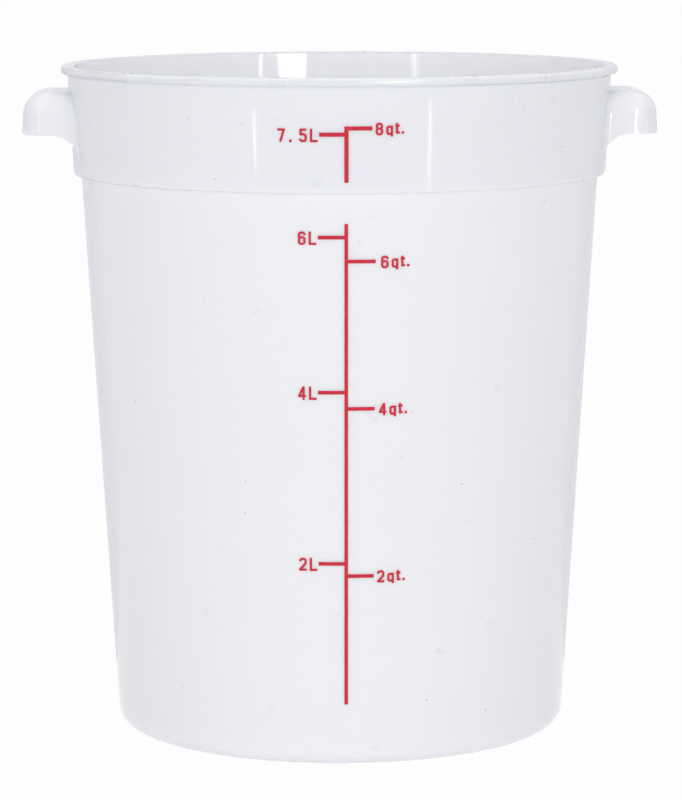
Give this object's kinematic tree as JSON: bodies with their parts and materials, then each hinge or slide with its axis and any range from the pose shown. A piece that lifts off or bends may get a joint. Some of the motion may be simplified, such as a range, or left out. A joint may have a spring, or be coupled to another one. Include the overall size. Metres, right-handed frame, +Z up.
{
  "type": "dough proofing container",
  "caption": "Round translucent plastic food container with a stepped collar, a rolled rim lip, hooded lug handles and a printed volume scale.",
  "frame": {"origin": "centre of the base, at the height of the surface that the foot ring stands on", "axes": "+Z up through the open mouth, +X through the right-hand handle, and the printed scale faces -Y"},
  "size_m": [0.2582, 0.2278, 0.273],
  "materials": {
    "tub_plastic": "translucent natural polypropylene, smooth and lightly glossy",
    "scale_ink": "screen-printed red ink"
  },
  "bodies": {
    "root": {"tub": "tub_plastic", "upper_scale_line": "scale_ink", "lower_scale_line": "scale_ink", "litre_tick_2": "scale_ink", "litre_tick_4": "scale_ink", "litre_tick_6": "scale_ink", "litre_tick_7_5": "scale_ink", "quart_tick_2": "scale_ink", "quart_tick_4": "scale_ink", "quart_tick_6": "scale_ink", "quart_tick_8": "scale_ink", "litre_figure_2": "scale_ink", "litre_figure_4": "scale_ink", "litre_figure_6": "scale_ink", "litre_figure_7_5": "scale_ink", "quart_figure_2": "scale_ink", "quart_figure_4": "scale_ink", "quart_figure_6": "scale_ink", "quart_figure_8": "scale_ink"}
  },
  "joints": []
}
